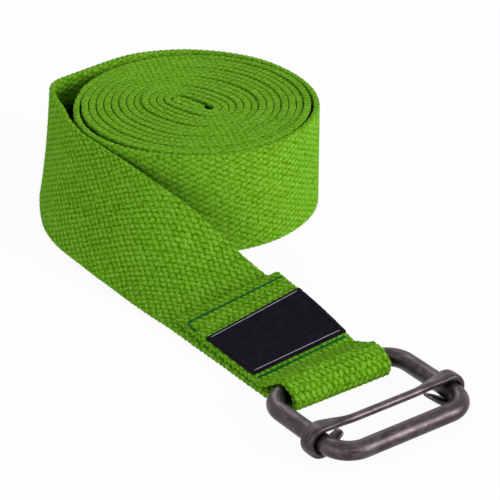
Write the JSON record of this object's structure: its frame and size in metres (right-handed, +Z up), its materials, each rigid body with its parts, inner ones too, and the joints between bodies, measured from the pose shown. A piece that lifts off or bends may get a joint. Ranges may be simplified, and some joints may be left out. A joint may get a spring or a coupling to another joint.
{
  "type": "stretching strap",
  "caption": "Flat cotton stretching strap wound into an upright roll; its sewn end holds a bent-wire buckle frame with a sliding bar.",
  "frame": {"origin": "axis of the roll, on the floor, under the hem folded into its core", "axes": "+Z up along the roll's axis; -Y towards the buckle; +X to the right when the buckle is in front"},
  "size_m": [0.1154, 0.2215, 0.0387],
  "materials": {
    "webbing": "coarse flat weave",
    "label_weave": "fine damask weave",
    "label_thread": "sewing thread",
    "green_thread": "sewing thread",
    "gunmetal": "dark antique plating, worn lighter where it is handled"
  },
  "bodies": {
    "strap": {"webbing_coil": "webbing", "webbing_outer_turn": "webbing", "webbing_lead": "webbing", "webbing_sewn_end": "webbing", "label": "label_weave", "label_stitching": "label_thread", "cut_end_stitching": "green_thread", "loop_stitching": "green_thread"},
    "buckle": {"buckle_frame": "gunmetal"},
    "bar": {"slide_bar": "gunmetal"}
  },
  "joints": [
    {"name": "buckle_frame_swing", "type": "hinge", "parent": "strap", "child": "buckle", "pos_m": [-0.0411, -0.13227, 0.0056], "axis": [-1, 0, 0], "range_deg": [0, 120]},
    {"name": "slide_bar_travel", "type": "slide", "parent": "buckle", "child": "bar", "axis": [0, 1, 0], "range_m": [0, 0.0155]}
  ]
}
